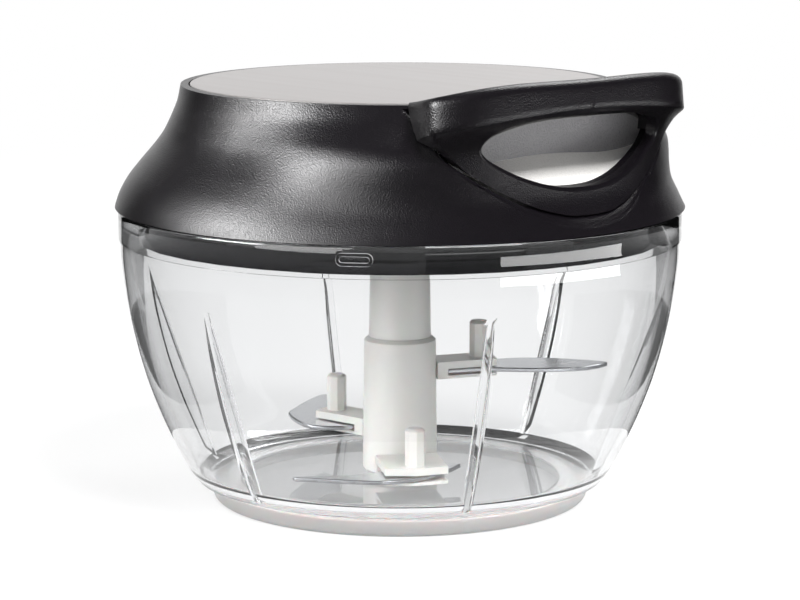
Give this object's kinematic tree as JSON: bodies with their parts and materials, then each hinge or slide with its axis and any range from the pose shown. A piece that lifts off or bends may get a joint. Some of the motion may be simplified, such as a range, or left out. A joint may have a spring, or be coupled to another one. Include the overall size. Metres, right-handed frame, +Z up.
{
  "type": "manual food chopper",
  "caption": "Pull-cord food chopper: clear bowl on a soft ring, stacked sickle blades on a turning hub, and a bell-shaped lid with a cord reel and a flush pull handle.",
  "frame": {"origin": "centre of the base ring's underside, on the surface that the chopper stands on", "axes": "+Z up along the bowl's axis, +X the way that the handle is pulled, +Y to the left of the pull"},
  "size_m": [0.1316, 0.1316, 0.1022],
  "materials": {
    "clear_plastic": "clear, glossy",
    "milky_rubber": "milky, satin",
    "pin_steel": "polished",
    "black_rubber": "matte",
    "grained_black": "finely grained",
    "silver_disc": "satin",
    "gloss_black": "glossy",
    "grey_plastic": "satin",
    "spring_steel": "oiled",
    "brass": "satin",
    "cord": "braided",
    "white_plastic": "satin",
    "blade_steel": "ground"
  },
  "bodies": {
    "bowl": {"bowl": "clear_plastic", "base_ring": "milky_rubber", "pivot_pin": "pin_steel"},
    "seal": {"lid_seal": "black_rubber"},
    "lid": {"lid_cover": "grained_black", "lid_disc": "silver_disc", "lid_base": "gloss_black", "spring_housing": "grey_plastic", "spring_plate": "spring_steel", "return_spring": "spring_steel", "spindle_bush": "brass", "cord_guide": "brass", "pull_cord": "cord", "lid_screw_1": "pin_steel", "lid_screw_2": "pin_steel", "lid_screw_3": "pin_steel", "lid_screw_4": "pin_steel", "housing_screw_1": "pin_steel", "housing_screw_2": "pin_steel", "housing_screw_3": "pin_steel"},
    "reel": {"cord_reel": "grey_plastic", "cord_winding": "cord", "drive_spindle": "white_plastic", "spring_arbor": "spring_steel", "spindle_clip": "pin_steel"},
    "handle": {"pull_handle": "grained_black", "cord_anchor": "brass"},
    "blades": {"blade_hub": "white_plastic", "upper_blade": "blade_steel", "middle_blade": "blade_steel", "lower_blade": "blade_steel"}
  },
  "joints": [
    {"name": "lid_lift", "type": "slide", "parent": "bowl", "child": "seal", "axis": [0, 0, 1], "range_m": [0, 0.08]},
    {"name": "lid_twist", "type": "hinge", "parent": "seal", "child": "lid", "pos_m": [0, 0, 0.07], "axis": [0, 0, 1], "range_deg": [-20, 0]},
    {"name": "handle_pull", "type": "slide", "parent": "lid", "child": "handle", "axis": [1, 0, 0], "range_m": [0, 0.3], "stiffness_N_per_m": 10, "springref_m": -0.15},
    {"name": "drum_spin", "type": "hinge", "parent": "lid", "child": "reel", "pos_m": [0, 0, 0.075], "axis": [0, 0, 1], "range_deg": [0, 687.6]},
    {"name": "blade_spin", "type": "hinge", "parent": "bowl", "child": "blades", "pos_m": [0, 0, 0.03], "axis": [0, 0, 1], "range_deg": [0, 687.6]}
  ],
  "couplings": [
    {"joint": "drum_spin", "follows": "handle_pull", "rad_per_m": 40},
    {"joint": "blade_spin", "follows": "handle_pull", "rad_per_m": 40}
  ]
}
